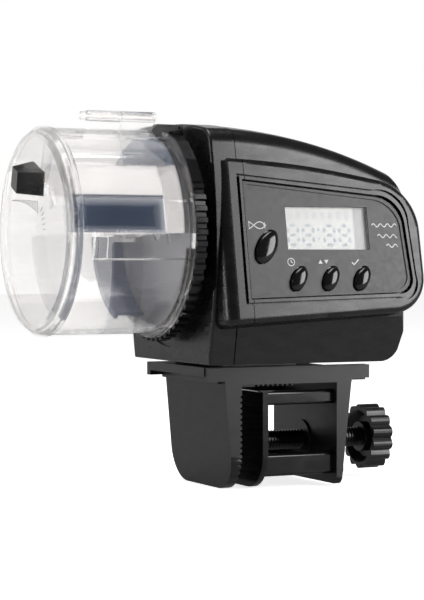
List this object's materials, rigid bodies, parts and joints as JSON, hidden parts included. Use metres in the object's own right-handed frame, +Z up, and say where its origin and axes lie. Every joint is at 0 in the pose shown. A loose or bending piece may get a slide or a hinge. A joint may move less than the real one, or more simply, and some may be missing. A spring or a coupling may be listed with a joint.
{
  "type": "automatic fish feeder",
  "caption": "Battery fish feeder that clamps to a tank rim: a motor housing turns a clear food drum with a refill door, portion shutter and control panel.",
  "frame": {"origin": "middle of the flat seat under the clamp beam that rests on the top of the tank rim", "axes": "+X from the food drum towards the clamp knob, along the drum axis; +Y away from the control panel; +Z up"},
  "size_m": [0.1232, 0.0693, 0.1103],
  "materials": {
    "black_shell": "satin moulded black, fine spark texture",
    "black_gloss": "polished black",
    "clear_plastic": "clear polystyrene, polished",
    "smoke_plastic": "smoke blue-grey, polished",
    "pale_plastic": "pale translucent blue-grey",
    "membrane_grey": "fine matt overlay",
    "display_pane": "hard coated window",
    "lcd_glass": "pale reflective liquid crystal",
    "board_green": "solder mask",
    "switch_steel": "stamped",
    "steel": "turned",
    "spring_steel": "nickel plated",
    "motor_can": "drawn can",
    "bush_brass": "turned",
    "gear_white": "natural acetal",
    "frame_grey": "moulded",
    "cell_label": "plain wrapped cell"
  },
  "bodies": {
    "clamp": {"clamp_bracket": "black_shell"},
    "jaw": {"moving_jaw": "black_shell"},
    "screw": {"clamp_screw": "black_gloss", "clamp_knob": "black_shell"},
    "housing": {"front_housing": "black_shell", "main_housing": "black_shell", "panel_bezel": "black_shell", "panel_membrane": "membrane_grey", "display_window": "display_pane", "lcd_module": "lcd_glass", "circuit_board": "board_green", "tact_switches": "switch_steel", "housing_screws": "steel", "slide_shoe": "black_shell", "battery_cells": "cell_label", "battery_contacts": "spring_steel", "battery_tray": "frame_grey", "spindle_bush": "bush_brass", "gear_motor": "motor_can", "gearbox_plates": "frame_grey", "idler_axle": "steel", "position_switch": "black_gloss"},
    "battery_lid": {"battery_cover": "black_shell"},
    "feed_key": {"feed_button": "black_gloss"},
    "mode_key": {"mode_button": "black_gloss"},
    "adjust_key": {"adjust_button": "black_gloss"},
    "set_key": {"set_button": "black_gloss"},
    "drum": {"drum_shell": "clear_plastic", "drum_end_cap": "clear_plastic", "drum_base_ring": "black_shell", "chamber_divider": "pale_plastic", "dosing_wall": "smoke_plastic", "hinge_pin": "clear_plastic", "catch_pin": "steel", "drive_spindle": "steel", "spindle_gear": "gear_white"},
    "door": {"refill_door": "clear_plastic"},
    "catch": {"drum_catch": "black_shell"},
    "shutter": {"shutter_arm": "clear_plastic", "portion_shutter": "smoke_plastic", "portion_knob": "black_shell"},
    "idler": {"idler_gear": "gear_white"},
    "pinion": {"motor_pinion": "bush_brass"}
  },
  "joints": [
    {"name": "housing_slide", "type": "slide", "parent": "clamp", "child": "housing", "axis": [1, 0, 0], "range_m": [-0.007, 0.0075]},
    {"name": "jaw_slide", "type": "slide", "parent": "clamp", "child": "jaw", "axis": [1, 0, 0], "range_m": [-0.003, 0.015]},
    {"name": "clamp_screw_spin", "type": "hinge", "parent": "jaw", "child": "screw", "pos_m": [0.041, 0, -0.0177], "axis": [1, 0, 0], "range_deg": [-1090, 5410]},
    {"name": "battery_cover_pull", "type": "slide", "parent": "housing", "child": "battery_lid", "axis": [0, 1, 0], "range_m": [0, 0.02]},
    {"name": "drum_spin", "type": "hinge", "parent": "housing", "child": "drum", "pos_m": [-0.039, 0, 0.0455], "axis": [1, 0, 0], "continuous": true},
    {"name": "refill_door_hinge", "type": "hinge", "parent": "drum", "child": "door", "pos_m": [-0.039, -0.008, 0.0787], "axis": [-1, 0, 0], "range_deg": [0, 105]},
    {"name": "drum_catch_hinge", "type": "hinge", "parent": "drum", "child": "catch", "pos_m": [-0.0206, -0.0084, 0.0727], "axis": [0, 1, 0], "range_deg": [0, 12], "stiffness_Nm_per_rad": 0.01, "springref_deg": -8.59},
    {"name": "portion_shutter_turn", "type": "hinge", "parent": "drum", "child": "shutter", "pos_m": [-0.059, 0, 0.0455], "axis": [1, 0, 0], "range_deg": [0, 38]},
    {"name": "idler_spin", "type": "hinge", "parent": "housing", "child": "idler", "pos_m": [-0.003, 0.00405, 0.03039], "axis": [1, 0, 0], "continuous": true},
    {"name": "pinion_spin", "type": "hinge", "parent": "housing", "child": "pinion", "pos_m": [-0.005, -0.00559, 0.02315], "axis": [1, 0, 0], "continuous": true},
    {"name": "feed_button_press", "type": "slide", "parent": "housing", "child": "feed_key", "axis": [0, 0.9848, -0.1736], "range_m": [0, 0.0006], "stiffness_N_per_m": 300, "springref_m": -0.0005},
    {"name": "mode_button_press", "type": "slide", "parent": "housing", "child": "mode_key", "axis": [0, 0.9848, -0.1736], "range_m": [0, 0.0006], "stiffness_N_per_m": 300, "springref_m": -0.0005},
    {"name": "adjust_button_press", "type": "slide", "parent": "housing", "child": "adjust_key", "axis": [0, 0.9848, -0.1736], "range_m": [0, 0.0006], "stiffness_N_per_m": 300, "springref_m": -0.0005},
    {"name": "set_button_press", "type": "slide", "parent": "housing", "child": "set_key", "axis": [0, 0.9848, -0.1736], "range_m": [0, 0.0006], "stiffness_N_per_m": 300, "springref_m": -0.0005}
  ],
  "couplings": [
    {"joint": "clamp_screw_spin", "follows": "jaw_slide", "rad_per_m": 6283.2},
    {"joint": "idler_spin", "follows": "drum_spin", "ratio": -3.3333},
    {"joint": "pinion_spin", "follows": "drum_spin", "ratio": 10}
  ]
}
